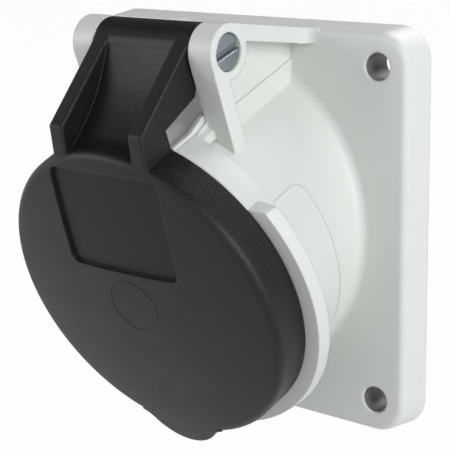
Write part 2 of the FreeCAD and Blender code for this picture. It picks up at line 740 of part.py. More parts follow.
def housing_body():
    shell = cut("shell_slotted", flange_and_tube(), band_slot())
    lugs = lug()
    walls = slot_wall()
    sides = [lugs, mirrored("lug_left", lugs), walls, mirrored("slot_wall_left", walls)]
    solid = fuse("housing_solid", shell, guard(), *sides)
    groove = square_frame("gasket_groove", "overrun")
    tools = [socket_bore(), keyway(), flange_hollow(), fixing_holes(), groove]
    return cut("housing_body", solid, *tools, hinge_bores(), ledge_holes())


def flange_gasket():
    return square_frame("flange_gasket", "0")


def lid_shell():
    """Turned cap: domed face, side wall, land and bead for the seal."""
    def dome(radius, drop):
        return f"({DOME_CENTRE} + sqrt((lid_dome - {drop})^2 - ({radius})^2))"

    bead_inner = "(lid_gasket_inner - seat_clearance - lid_bead_width)"
    bead_outer = "(lid_gasket_inner - seat_clearance)"
    land = "(lid_rear + lid_gasket_height)"
    outer = "(lid_gasket_outer + seat_clearance)"
    corners = [
        ("0", "lid_top"),
        ("0", "lid_top - lid_wall"),
        (bead_inner, dome(bead_inner, "lid_wall")),
        (bead_inner, "lid_bead_rear"),
        (bead_outer, "lid_bead_rear"),
        (bead_outer, land),
        (outer, land),
        (outer, "lid_rear"),
        ("lid_rim_radius", "lid_rear"),
        ("lid_radius", dome("lid_radius", "0")),
    ]
    arcs = {1: ("lid_dome - lid_wall", False), 9: ("lid_dome", True)}
    body = turned("lid_shell", corners, arcs)
    edge_radius = value("lid_radius")
    edge_station = value(dome("lid_radius", "0"))

    def front_edge(edge):
        around = edge.BoundBox.XLength > 2 * edge_radius - 0.01
        return around and abs(edge.BoundBox.ZMin - edge_station) < 0.01

    rounded(body, "lid_front_edge", body.Tip, "lid_edge", front_edge)
    return in_socket_frame(body)


def label_recess():
    """Slab cut out of the domed face, with a floor that follows the dome."""
    body = new_body("label_window")
    side = "label_half_width"
    corners = [(f"-{side}", "label_bottom"), (side, "label_bottom"), (side, "label_top"), (f"-{side}", "label_top")]
    sketch = outline(body, "label_outline", "XY_Plane", corners, offset="lid_top - 4 * overrun")
    solid = pad(body, "label_pad", sketch, "5 * overrun")
    tall = value("4 * overrun")

    def upright(edge):
        return edge.BoundBox.ZLength > tall

    rounded(body, "label_corners", solid, "label_corner", upright)
    in_socket_frame(body)
    floor = doc.addObject("Part::Sphere", "label_floor")
    bind(floor, Radius="lid_dome - label_depth")
    in_socket_frame(floor, station=DOME_CENTRE)
    return cut("label_recess", body, floor)


def thumb_tab():
    """Round-ended tab below the lid, blended into its side, with the domed face carried on."""
    centre = "(tab_reach - tab_radius)"
    far, near = "(lid_radius + tab_root)", "(tab_radius + tab_root)"
    blend_v = f"((({far})^2 - ({near})^2 + {centre}^2) / (2 * {centre}))"
    blend_x = f"sqrt({far}^2 - {blend_v}^2)"
    lid_x, lid_v = f"{blend_x} * lid_radius / {far}", f"-{blend_v} * lid_radius / {far}"
    tab_x = f"{blend_x} * tab_radius / {near}"
    tab_v = f"-{centre} - ({blend_v} - {centre}) * tab_radius / {near}"
    inner = "(lid_radius - lid_edge - lid_lap) / lid_radius"
    corners = [
        (f"-({lid_x})", lid_v),
        (f"-({tab_x})", tab_v),
        (tab_x, tab_v),
        (lid_x, lid_v),
        (f"{lid_x} * {inner}", f"{lid_v} * {inner}"),
        (f"-({lid_x} * {inner})", f"{lid_v} * {inner}"),
    ]
    arcs = {0: ("tab_root", False), 1: ("tab_radius", True), 2: ("tab_root", False)}
    arcs[4] = (f"lid_radius * {inner}", False)
    body = new_body("tab_blank")
    sketch = outline(body, "tab_outline", "XY_Plane", corners, arcs, offset="tab_rear")
    pad(body, "tab_pad", sketch, "lid_top - tab_rear")
    in_socket_frame(body)
    dome = doc.addObject("Part::Sphere", "tab_dome")
    bind(dome, Radius="lid_dome - tab_drop")
    in_socket_frame(dome, station=DOME_CENTRE)
    blank = common("tab_solid", body, dome)
    low = -value(tab_v)
    rear = value("tab_rear")

    def front_edge(edge):
        height, station = seen_from_axis(middle_of(edge))
        return height < -low and station > rear + 1

    return part_fillet("thumb_tab", blank, "tab_edge", front_edge)


def tangent_turn():
    """Direction from the hinge axis to where the ribs' top face leaves the barrel."""
    across = "(hook_crown_station - hinge_station)"
    up = "(hook_crown_height - hinge_height)"
    return f"(acos(barrel_radius / sqrt({across}^2 + {up}^2)) + atan2({up}; {across}))"


def lid_arm():
    """Two ribs from the face to the hinge, a hollow web between them, and the barrel."""
    rib_corners = [
        polar(tangent_turn(), "barrel_radius - 0.1"),
        ("hook_crown_height", "hook_crown_station"),
        ("hook_foot_height", "hook_foot_station"),
        ("hook_root", "hook_foot_station - lid_lap"),
        ("hook_root", "lid_rear + lid_gasket_height"),
        ("hook_foot_height", "lid_rear"),
        ("hook_sole_front", "lid_rear"),
        ("hook_sole_rear", "hook_sole_station"),
        polar("hook_sole_turn", "barrel_radius / 2"),
    ]
    body = new_body("hook_rib")
    sketch = outline(body, "hook_rib_outline", "YZ_Plane", rib_corners, offset="hook_inner")
    solid = pad(body, "hook_rib_pad", sketch, "hook_half_width - hook_inner")
    crown = FreeCAD.Vector(0, value("hook_crown_height"), value("hook_crown_station"))
    start = FreeCAD.Vector(0, value(rib_corners[0][0]), value(rib_corners[0][1]))
    foot = FreeCAD.Vector(0, value("hook_foot_height"), value("hook_foot_station"))

    def outer_edge(edge):
        """The edges round the ribs' top and front faces, which are rounded."""
        ends = [FreeCAD.Vector(0, vertex.Y, vertex.Z) for vertex in edge.Vertexes]
        at_crown = any(end.distanceToPoint(crown) < 0.01 for end in ends)
        known = all(min(end.distanceToPoint(spot) for spot in (crown, start, foot)) < 0.01 for end in ends)
        return at_crown and known

    rounded(body, "hook_rib_edges", solid, "hook_edge", outer_edge)
    in_socket_frame(body)
    hollow = ("hook_hollow_height", "hook_hollow_station")
    web_corners = [
        polar("tangent_lead", "barrel_radius - hook_lap / 5"),
        hollow,
        ("hook_web_height", "hook_web_station"),
        ("hook_root", "hook_web_station"),
        ("hook_root", "lid_rear + lid_gasket_height"),
        ("hook_web_height - hook_web_wall / 2", "lid_rear"),
        ("hook_hollow_height - 1.6 * hook_web_wall", "hook_hollow_station + hook_web_wall"),
        ("hook_hollow_height - 1.2 * hook_web_wall", "hook_hollow_station - 0.8 * hook_web_wall"),
        polar("web_under_turn", "barrel_radius - 0.2"),
    ]
    arcs = {1: ("hook_hollow_radius", False), 5: ("hook_hollow_radius + hook_web_wall", True)}
    web = plate_across("hook_web", web_corners, "-hook_inner - hook_lap", "2 * (hook_inner + hook_lap)", arcs)
    in_socket_frame(web)
    barrel = cylinder("hook_barrel", "barrel_radius", "2 * hook_half_width")
    on_hinge(barrel, "-hook_half_width")
    return fuse("lid_arm", body, mirrored("hook_rib_left", body), web, barrel)


def polar(turn, radius):
    """A corner of a wedge round the hinge axis, in the socket frame."""
    return (f"hinge_height + ({radius}) * sin({turn})", f"hinge_station + ({radius}) * cos({turn})")


def spring_pocket():
    """Room for the spring in the barrel, open at the back and below."""
    pocket = cylinder("pocket_round", "barrel_radius - barrel_skin", "2 * barrel_pocket")
    on_hinge(pocket, "-barrel_pocket")
    wedge_corners = [("hinge_height", "hinge_station")]
    for share in range(POCKET_SIDES + 1):
        turn = f"(pocket_start + {share / POCKET_SIDES} * (pocket_end - pocket_start))"
        wedge_corners.append(polar(turn, "barrel_radius + overrun"))
    wedge = plate_across("pocket_opening", wedge_corners, "-barrel_pocket", "2 * barrel_pocket")
    in_socket_frame(wedge)
    return fuse("spring_pocket", pocket, wedge)


def seal_channel():
    """Ring-shaped room for the seal, behind the lid's land."""
    outer = cylinder("channel_outer", "lid_gasket_outer + seat_clearance", "lid_gasket_height + overrun")
    inner = cylinder("channel_inner", "lid_gasket_inner - seat_clearance", "lid_gasket_height + 3 * overrun")
    in_socket_frame(outer, station="lid_rear - overrun")
    in_socket_frame(inner, station="lid_rear - 2 * overrun")
    return cut("seal_channel", outer, inner)


def lid():
    solid = fuse("lid_solid", lid_shell(), lid_arm(), thumb_tab())
    bore = cylinder("lid_bore", "pin_radius + pin_clearance", "2 * " + LUG_OUTER)
    on_hinge(bore, "-" + LUG_OUTER)
    return cut("lid", solid, label_recess(), bore, spring_pocket(), seal_channel())


def lid_gasket():
    outer = cylinder("seal_outer", "lid_gasket_outer", "lid_gasket_height")
    inner = cylinder("seal_inner", "lid_gasket_inner", "lid_gasket_height + 2 * overrun")
    in_socket_frame(outer, station="lid_rear")
    in_socket_frame(inner, station="lid_rear - overrun")
    return cut("lid_gasket", outer, inner)


def hinge_screw():
    head = on_hinge(cylinder("head", "screw_head_radius", "screw_head_height"), LUG_OUTER + " - screw_recess_depth")
    start = f"(seat_clearance - {LUG_OUTER})"
    length = f"2 * {LUG_OUTER} - screw_recess_depth - seat_clearance + screw_head_height / 2"
    shank = on_hinge(cylinder("shank", "pin_radius", length), start)
    slot = box("screw_slot", "screw_slot_depth + overrun", "4 * screw_head_radius", "screw_slot_width")
    top = LUG_OUTER + " - screw_recess_depth + screw_head_height - screw_slot_depth"
    across = "2 * screw_head_radius * cos(screw_slot_turn) - screw_slot_width / 2 * sin(screw_slot_turn)"
    down = "2 * screw_head_radius * sin(screw_slot_turn) + screw_slot_width / 2 * cos(screw_slot_turn)"
    slot.Placement = FreeCAD.Placement(CENTRE, FreeCAD.Rotation(X_AXIS, value("screw_slot_turn")))
    slot.setExpression("Placement.Rotation.Angle", bound("screw_slot_turn"))
    slot.setExpression("Placement.Base.x", bound(top))
    slot.setExpression("Placement.Base.y", bound(f"{HINGE_Y} - ({across})"))
    slot.setExpression("Placement.Base.z", bound(f"{HINGE_Z} - ({down})"))
    return cut("hinge_screw", fuse("screw_solid", head, shank), slot)


def hinge_nut():
    nut = doc.addObject("Part::Prism", "nut_prism")
    nut.Polygon = 6
    bind(nut, Circumradius="nut_width / 2 / cos(30)", Height="nut_height")
    on_hinge(nut, f"-{LUG_OUTER} + seat_clearance")
    bore = cylinder("nut_bore", "pin_radius + screw_play", "nut_height + 2 * overrun")
    on_hinge(bore, f"-{LUG_OUTER} - overrun")
    return cut("hinge_nut", nut, bore)


def lid_spring():
    """Torsion spring round the hinge screw, in the shape it has with the lid closed."""
    radius = value("spring_radius")
    wire = value("spring_wire") / 2
    half = value("spring_half_width")
    end_turn = value("spring_end_turn")
    turns = value("spring_turns") + end_turn / 360
    coil = Part.makeHelix(2 * half / turns, 2 * half, radius)
    profile = Part.Wire(Part.Circle(FreeCAD.Vector(radius, 0, 0), Y_AXIS, wire).toShape())
    coil_solid = Part.Wire(coil.Edges).makePipeShell([profile], True, True)
    end = math.radians(end_turn)
    last = FreeCAD.Vector(radius * math.cos(end), radius * math.sin(end), 2 * half)
    onward = FreeCAD.Vector(-math.sin(end), math.cos(end), 0)
    first = FreeCAD.Vector(radius, 0, 0)
    rest_leg = Part.makeCylinder(wire, value("spring_rest"), first, FreeCAD.Vector(0, -1, 0))
    reach_leg = Part.makeCylinder(wire, value("spring_reach"), last, onward)
    knees = [Part.makeSphere(wire * value("spring_knee"), point) for point in (first, last)]
    solid = coil_solid.fuse([rest_leg, reach_leg] + knees)
    feature = doc.addObject("Part::Feature", "lid_spring")
    feature.Shape = solid
    lean = math.radians(value("tilt"))
    out = FreeCAD.Vector(0, -math.cos(lean), -math.sin(lean))
    up = FreeCAD.Vector(0, -math.sin(lean), math.cos(lean))
    turn = FreeCAD.Rotation(out, up, out.cross(up), "XYZ")
    place = FreeCAD.Vector(half, value(HINGE_Y), value(HINGE_Z))
    feature.Placement = FreeCAD.Placement(place, turn)
    return feature



def contact_turn(number):
    """Angle of a contact from +X, the earth first and the others clockwise."""
    return f"(earth_turn - {STEP * number})"


def contact_place(number):
    turn = contact_turn(number)
    return (f"contact_circle * cos({turn})", f"contact_circle * sin({turn})")


def contact_radius(number):
    return "earth_bore" if number == 0 else "contact_bore"


def through_bores(name, radius, low, high):
    """Five straight bores on the contacts' places; radius is added to a contact's bore."""
    tools = []
    for number, contact in enumerate(CONTACTS):
        bore = cylinder(f"{name}_{contact}", f"{contact_radius(number)} + {radius}", f"{high} - {low}")
        tools.append(in_socket_frame(bore, *contact_place(number), low))
    return tools


def contact_carrier():
    """Insulating block with five straight contact chambers."""
    blank = cylinder("carrier_blank", "carrier_radius", f"{COVER_REAR} + ledge_length")
    in_socket_frame(blank, station=LEDGE_REAR)
    room = "contact_wall + clip_wall + seat_clearance"
    low, high = f"({LEDGE_REAR} - overrun)", f"({COVER_REAR} + overrun)"
    middle = cylinder("carrier_middle_hole", "centre_screw_radius + seat_clearance", f"{high} - {low}")
    tools = through_bores("chamber", room, low, high)
    return cut("contact_carrier", blank, in_socket_frame(middle, station=low), *tools)


def contact_cover():
    """Front plate of the block, with the five pin entries."""
    corners = [
        ("0", COVER_REAR),
        ("carrier_radius", COVER_REAR),
        ("carrier_radius", "carrier_front - carrier_edge"),
        ("carrier_radius - carrier_edge", "carrier_front"),
        ("0", "carrier_front"),
    ]
    blank = in_socket_frame(turned("cover_blank", corners))
    low, high = f"({COVER_REAR} - overrun)", "(carrier_front + overrun)"
    middle = cylinder("cover_middle_hole", "centre_screw_radius + screw_play", "centre_screw_grip + overrun")
    tools = through_bores("entry", "entry_clearance", low, high)
    return cut("contact_cover", blank, in_socket_frame(middle, station=low), *tools)


def fin(number, name):
    """Wall between two terminals, half way between two contacts."""
    turn = f"({contact_turn(number)} - {HALF_STEP})"
    points = []
    for reach, side in (("fin_reach", "-"), ("fin_start", "-"), ("fin_start", ""), ("fin_reach", "")):
        across = f"{reach} * cos({turn}) - ({side}fin_width / 2) * sin({turn})"
        height = f"{reach} * sin({turn}) + ({side}fin_width / 2) * cos({turn})"
        points.append((across, height))
    body = new_body(f"fin_{name}")
    start = f"{RETAINER_REAR} - fin_length"
    sketch = outline(body, f"fin_outline_{name}", "XY_Plane", points, offset=start)
    pad(body, f"fin_pad_{name}", sketch, "fin_length + retainer_length / 2")
    return in_socket_frame(body)


def carrier_retainer():
    """Plate behind the block and the ledge, with fins between the terminals."""
    plate = cylinder("retainer_plate", "retainer_radius", "retainer_length")
    in_socket_frame(plate, station=RETAINER_REAR)
    fins = [fin(number, name) for number, name in enumerate(CONTACTS)]
    low, high = f"({RETAINER_REAR} - overrun)", f"({LEDGE_REAR} + overrun)"
    tools = through_bores("retainer_hole", "contact_wall + seat_clearance", low, high)
    middle = cylinder("retainer_middle_hole", "centre_screw_radius + seat_clearance", f"{high} - {low}")
    tools.append(in_socket_frame(middle, station=low))
    for number, (across, height) in enumerate(carrier_screw_places(), start=1):
        radius = "carrier_screw_radius + seat_clearance"
        hole = cylinder(f"retainer_screw_hole_{number}", radius, f"{high} - {low}")
        tools.append(in_socket_frame(hole, across, height, low))
    return cut("carrier_retainer", fuse("retainer_solid", plate, *fins), *tools)


def contact_sleeve(number, name):
    """Turned sleeve: sprung mouth, shoulder behind the plate, terminal with a wire hole."""
    bore = contact_radius(number)
    outer = f"({bore} + contact_wall)"
    shoulder = f"({RETAINER_REAR} - seat_clearance)"
    rear = f"({shoulder} - terminal_length)"
    corners = [
        ("0", "contact_bore_end"),
        (bore, "contact_bore_end"),
        (bore, "contact_front"),
        (outer, "contact_front"),
        (outer, shoulder),
        ("terminal_radius", shoulder),
        ("terminal_radius", rear),
        ("wire_radius", rear),
        ("wire_radius", f"{rear} + wire_depth"),
        ("0", f"{rear} + wire_depth"),
    ]
    place = contact_place(number)
    blank = in_socket_frame(turned(f"sleeve_{name}", corners), *place)
    slit_low = (f"{place[0]} - contact_slit / 2", f"{place[1]} - {outer} - overrun", "contact_slit_end")
    slit_high = (f"{place[0]} + contact_slit / 2", f"{place[1]} + {outer} + overrun", "contact_front + overrun")
    slit = socket_block(f"slit_{name}", slit_low, slit_high)
    reach = "terminal_radius + overrun"
    hole = terminal_shaft(f"terminal_hole_{name}", number, reach, "terminal_screw_radius + screw_play")
    label = "earth_sleeve" if number == 0 else f"contact_sleeve_{name}"
    return cut(label, blank, slit, hole)


def terminal_shaft(name, number, length, radius):
    """A rod from the middle of a terminal outwards, square to the contact."""
    body = new_body(name)
    turn = contact_turn(number)
    place = contact_place(number)
    station = f"({RETAINER_REAR} - seat_clearance - terminal_length + terminal_screw_place)"
    corners = []
    start = "terminal_screw_tip"
    for reach, side in ((start, "-"), (length, "-"), (length, ""), (start, "")):
        across = f"{place[0]} + ({reach}) * cos({turn}) - ({side}({radius})) * sin({turn})"
        height = f"{place[1]} + ({reach}) * sin({turn}) + ({side}({radius})) * cos({turn})"
        corners.append((across, height))
    sketch = outline(body, name + "_outline", "XY_Plane", corners, offset=f"{station} - ({radius})")
    pad(body, name + "_pad", sketch, f"2 * ({radius})")
    return in_socket_frame(body)


def contact_clip(number, name):
    bore = contact_radius(number)
    place = contact_place(number)
    outer = cylinder(f"clip_outer_{name}", f"{bore} + contact_wall + clip_wall", "clip_length")
    inner = cylinder(f"clip_inner_{name}", f"{bore} + contact_wall + clip_play", "clip_length + 2 * overrun")
    in_socket_frame(outer, *place, "clip_station")
    in_socket_frame(inner, *place, "clip_station - overrun")
    low = (place[0], f"{place[1]} - clip_gap / 2", "clip_station - overrun")
    far = f"{place[0]} + {bore} + contact_wall + clip_wall + overrun"
    high = (far, f"{place[1]} + clip_gap / 2", "clip_station + clip_length + overrun")
    gap = socket_block(f"clip_gap_{name}", low, high)
    return cut(f"contact_clip_{name}", outer, inner, gap)


def terminal_screws():
    rods = []
    for number, name in enumerate(CONTACTS):
        reach = "terminal_radius + terminal_screw_stand"
        rods.append(terminal_shaft(f"terminal_screw_{name}", number, reach, "terminal_screw_radius"))
    return fuse("terminal_screws", *rods)


def carrier_screws():
    screws = []
    for number, (across, height) in enumerate(carrier_screw_places(), start=1):
        length = "carrier_screw_grip + retainer_length - seat_clearance"
        shank = cylinder(f"carrier_shank_{number}", "carrier_screw_radius - screw_play", length)
        in_socket_frame(shank, across, height, RETAINER_REAR)
        head = cylinder(f"carrier_head_{number}", "carrier_screw_head", "carrier_screw_head_height")
        in_socket_frame(head, across, height, RETAINER_REAR + " - carrier_screw_head_height")
        screws.append(fuse(f"carrier_screw_{number}", shank, head))
    return fuse("carrier_screws", *screws)


def centre_screw():
    shank = cylinder("centre_shank", "centre_screw_radius", f"{COVER_REAR} + centre_screw_grip - {RETAINER_REAR}")
    head = cylinder("centre_head", "centre_screw_head", "centre_screw_head_height")
    in_socket_frame(shank, station=RETAINER_REAR)
    in_socket_frame(head, station=RETAINER_REAR + " - centre_screw_head_height")
    return fuse("centre_screw", shank, head)


def main():
    pieces = [housing_body(), flange_gasket(), lid(), lid_gasket()]
    pieces += [hinge_screw(), hinge_nut(), lid_spring()]
    pieces += [contact_carrier(), contact_cover(), carrier_retainer(), centre_screw()]
    for number, name in enumerate(CONTACTS):
        pieces.append(contact_sleeve(number, name))
        pieces.append(contact_clip(number, name))
    pieces += [terminal_screws(), carrier_screws()]
    doc.recompute()
    for thing in doc.Objects:
        if "Invalid" in thing.State or "Error" in thing.State:
            raise RuntimeError(f"{thing.Name} is {thing.State}")
    os.makedirs("parts", exist_ok=True)
    for piece in pieces:
        shape = piece.Shape
        piece.Label = piece.Name
        if shape.isNull() or not shape.isValid() or shape.Volume <= 0:
            raise RuntimeError(f"{piece.Name} has no sound shape")
        print(piece.Name, len(shape.Solids), round(shape.Volume, 1), shape.BoundBox)
        shape.exportStep(f"parts/{piece.Name}.step")


main()
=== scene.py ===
"""Dressed model of a leaning panel socket with a spring lid, for a product view."""

import math

import bmesh
import bpy
from bpy.props import FloatProperty, FloatVectorProperty, PointerProperty
from mathutils import Matrix, Vector


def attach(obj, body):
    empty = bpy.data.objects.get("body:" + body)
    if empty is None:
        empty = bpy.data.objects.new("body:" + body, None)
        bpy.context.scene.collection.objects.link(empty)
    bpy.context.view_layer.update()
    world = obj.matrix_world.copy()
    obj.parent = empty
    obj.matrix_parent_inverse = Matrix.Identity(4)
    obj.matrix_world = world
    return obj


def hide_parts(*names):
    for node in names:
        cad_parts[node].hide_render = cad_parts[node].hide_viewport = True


bl_info = {
    "name": "Panel Socket Dressing",
    "version": (1, 0, 0),
    "blender": (4, 5, 0),
    "location": "3D View > Sidebar > Panel Socket",
    "description": "Finishes and fine pieces for a leaning panel socket with a hinged lid",
    "category": "Object",
}

MM = 0.001

# The surroundings: the way to their darkest side and how far round it they darken, then the
# floor's grey, the share of it that shows plain white, and half its width in metres.
DARK_SIDE = (0.0, 0.5, 0.87)
DARK_REACH = 0.6
FLOOR_SHADE = 0.72
FLOOR_GLOW = 0.97
FLOOR_HALF = 4.0

# Sizes that the dressing shares with the solids, in millimetres.
TILT = math.radians(20.0)
AXIS_HEIGHT = 4.0
TUBE_RADIUS = 31.3
BAND_REAR = 28.2
LID_DOME = 237.0
LID_TOP = 45.84
LABEL_DEPTH = 0.8
LABEL_LOW = (-14.2, 7.9)
LABEL_HIGH = (14.2, 29.85)
HOLE_PLACE = 35.0
HOLE_RADIUS = 2.8

# Points round a corner and along the rest of a thin line.
CORNER_STEPS = 6
LONG_STEPS = 60

# Welding, and how near two things count as the same place, in millimetres.
WELD = 0.002
NEAR = 0.02

# Angles between faces: flat, and sharp on turned and on moulded pieces.
FLAT_ANGLE = math.radians(1)
TURNED_EDGE = math.radians(25)
MOULDED_EDGE = math.radians(35)

# Name, place, width and height of each soft light, and what they point at, in metres.
LIGHTS = (
    ("key", (0.65, -0.15, 0.26), 0.45, 0.5),
    ("top", (0.05, 0.5, 0.55), 0.5, 0.5),
    ("front", (-0.5, -0.6, 0.22), 0.4, 0.3),
)
LIT_SPOT = (0, -0.02, 0)

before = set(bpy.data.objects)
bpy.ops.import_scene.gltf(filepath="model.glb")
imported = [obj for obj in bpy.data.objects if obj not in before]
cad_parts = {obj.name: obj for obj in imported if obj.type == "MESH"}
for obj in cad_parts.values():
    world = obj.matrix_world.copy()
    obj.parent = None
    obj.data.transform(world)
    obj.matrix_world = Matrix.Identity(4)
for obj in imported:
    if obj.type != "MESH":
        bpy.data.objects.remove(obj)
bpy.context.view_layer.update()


class SocketFinishes(bpy.types.PropertyGroup):
    """Colours and grain of the mouldings and the metal."""

    housing: FloatVectorProperty(
        name="Housing", description="Light grey moulding", subtype="COLOR", size=3,
        min=0.0, max=1.0, default=(0.66, 0.685, 0.66))
    # Painted shade: the walls of the fixing holes take this share of the housing's colour, which
    # stands in for the shadow down in the holes.
    hole_painted_shade: FloatProperty(
        name="Painted hole shade", description="Share of the housing's colour down in the fixing holes",
        default=0.3, min=0.0, max=1.0, subtype="FACTOR")
    lid: FloatVectorProperty(
        name="Lid", description="Near black moulding", subtype="COLOR", size=3,
        min=0.0, max=1.0, default=(0.0076, 0.0077, 0.0094))
    rubber: FloatVectorProperty(
        name="Seals", description="Seal rubber", subtype="COLOR", size=3,
        min=0.0, max=1.0, default=(0.02, 0.02, 0.021))
    zinc: FloatVectorProperty(
        name="Plated steel", description="Bluish zinc plating", subtype="COLOR", size=3,
        min=0.0, max=1.0, default=(0.31, 0.36, 0.39))
    wire: FloatVectorProperty(
        name="Spring wire", description="Bright drawn steel", subtype="COLOR", size=3,
        min=0.0, max=1.0, default=(0.55, 0.55, 0.56))
    insulator: FloatVectorProperty(
        name="Contact block", description="Glass-filled insulating plastic", subtype="COLOR",
        size=3, min=0.0, max=1.0, default=(0.36, 0.37, 0.36))
    contact: FloatVectorProperty(
        name="Contacts", description="Nickel on brass", subtype="COLOR", size=3,
        min=0.0, max=1.0, default=(0.72, 0.68, 0.58))
    grain: FloatProperty(
        name="Grain", description="Size of the moulded grain", default=0.22 * MM,
        min=0.02 * MM, max=2 * MM, subtype="DISTANCE", unit="LENGTH", precision=5)
    lid_grain: FloatProperty(
        name="Lid grain", description="Size of the coarser grain on the lid", default=0.3 * MM,
        min=0.02 * MM, max=2 * MM, subtype="DISTANCE", unit="LENGTH", precision=5)
    edge: FloatProperty(
        name="Edge break", description="Small rounding that catches the light on sharp edges",
        default=0.5 * MM, min=0.0, max=2 * MM, subtype="DISTANCE", unit="LENGTH", precision=5)


class SocketFineSizes(bpy.types.PropertyGroup):
    """Sizes of the thin moulded lines and of the screw's broken edges."""

    line: FloatProperty(
        name="Line width", description="Width of a moulded line",
        default=0.3 * MM, subtype="DISTANCE", unit="LENGTH", precision=5)
    line_stand: FloatProperty(
        name="Line height", description="How far a line stands out",
        default=0.15 * MM, subtype="DISTANCE", unit="LENGTH", precision=5)
    field_high: FloatProperty(
        name="Tube field, upper end", description="Angle above the right side",
        default=math.radians(33), subtype="ANGLE", unit="ROTATION")
    field_low: FloatProperty(
        name="Tube field, lower end", description="Angle below the right side",
        default=math.radians(-34), subtype="ANGLE", unit="ROTATION")
    field_rear: FloatProperty(
        name="Tube field, rear line", description="Station along the socket",
        default=17.7 * MM, subtype="DISTANCE", unit="LENGTH", precision=5)
    field_corner: FloatProperty(
        name="Tube field, corner", description="Rounding of the outline",
        default=3.0 * MM, subtype="DISTANCE", unit="LENGTH", precision=5)
    lid_field_radius: FloatProperty(
        name="Lid field", description="Radius of the round line on the lid",
        default=6.0 * MM, subtype="DISTANCE", unit="LENGTH", precision=5)
    lid_field_across: FloatProperty(
        name="Lid field, across", description="Middle, from the lid's middle",
        default=0.0, subtype="DISTANCE", unit="LENGTH", precision=5)
    lid_field_up: FloatProperty(
        name="Lid field, up", description="Middle, from the lid's middle",
        default=0.0, subtype="DISTANCE", unit="LENGTH", precision=5)
    head_chamfer: FloatProperty(
        name="Screw chamfer", description="Broken edges of the screw's head",
        default=0.45 * MM, subtype="DISTANCE", unit="LENGTH", precision=5)


class SocketStage(bpy.types.PropertyGroup):
    """Camera and light of the product view."""

    place: FloatVectorProperty(
        name="Camera place", description="Where the camera stands", size=3,
        subtype="TRANSLATION", unit="LENGTH", default=(0.1808, -0.2349, 0.0734))
    azimuth: FloatProperty(
        name="Azimuth", description="Turn of the view round the vertical", subtype="ANGLE",
        unit="ROTATION", default=math.radians(39.23))
    elevation: FloatProperty(
        name="Elevation", description="How far the camera looks down", subtype="ANGLE",
        unit="ROTATION", default=math.radians(14.61))
    roll: FloatProperty(
        name="Roll", description="Lean of the camera to one side", subtype="ANGLE",
        unit="ROTATION", default=math.radians(-1.21))
    lens: FloatProperty(
        name="Lens", description="Focal length of the camera", subtype="DISTANCE_CAMERA",
        unit="CAMERA", default=109.4)
    floor_gap: FloatProperty(
        name="Floor", description="Height of the floor below the origin", subtype="DISTANCE",
        unit="LENGTH", default=0.062)
    key: FloatProperty(name="Key light", description="Power of the light on the right",
                       unit="POWER", default=3.6)
    top: FloatProperty(name="Top light", description="Power of the light overhead",
                       unit="POWER", default=3.3)
    front: FloatProperty(name="Front light", description="Power of the low light at the front",
                         unit="POWER", default=1.4)
    ambient: FloatProperty(name="Ambient", description="Light from all round", default=0.66)
    overhead: FloatProperty(name="Overhead", description="Share of that light straight above",
                            default=0.12, min=0.0, max=1.0)


def look(context):
    """The colours and grain that the user has set."""
    return context.scene.socket_finishes


def socket_frame():
    """From across, up and out along the socket's leaning axis, in millimetres, to the scene."""
    up = Vector((0, -math.sin(TILT), math.cos(TILT)))
    out = Vector((0, -math.cos(TILT), -math.sin(TILT)))
    axes = Matrix((Vector((1, 0, 0)), up, out)).transposed().to_4x4()
    return Matrix.Scale(MM, 4) @ Matrix.Translation((0, 0, AXIS_HEIGHT)) @ axes


def node_group(name, inputs, outputs):
    """An empty shader group with named sockets, and its two end nodes."""
    group = bpy.data.node_groups.new(name, "ShaderNodeTree")
    for label, kind, default in inputs:
        socket = group.interface.new_socket(label, in_out="INPUT", socket_type=kind)
        socket.default_value = default
    for label, kind in outputs:
        group.interface.new_socket(label, in_out="OUTPUT", socket_type=kind)
    return group, group.nodes.new("NodeGroupInput"), group.nodes.new("NodeGroupOutput")


def math_node(tree, operation, first, second):
    """One math step; either side may be a socket or a number."""
    node = tree.nodes.new("ShaderNodeMath")
    node.operation = operation
    for socket, source in zip(node.inputs, (first, second)):
        if isinstance(source, bpy.types.NodeSocket):
            tree.links.new(source, socket)
        else:
            socket.default_value = source
    return node.outputs[0]


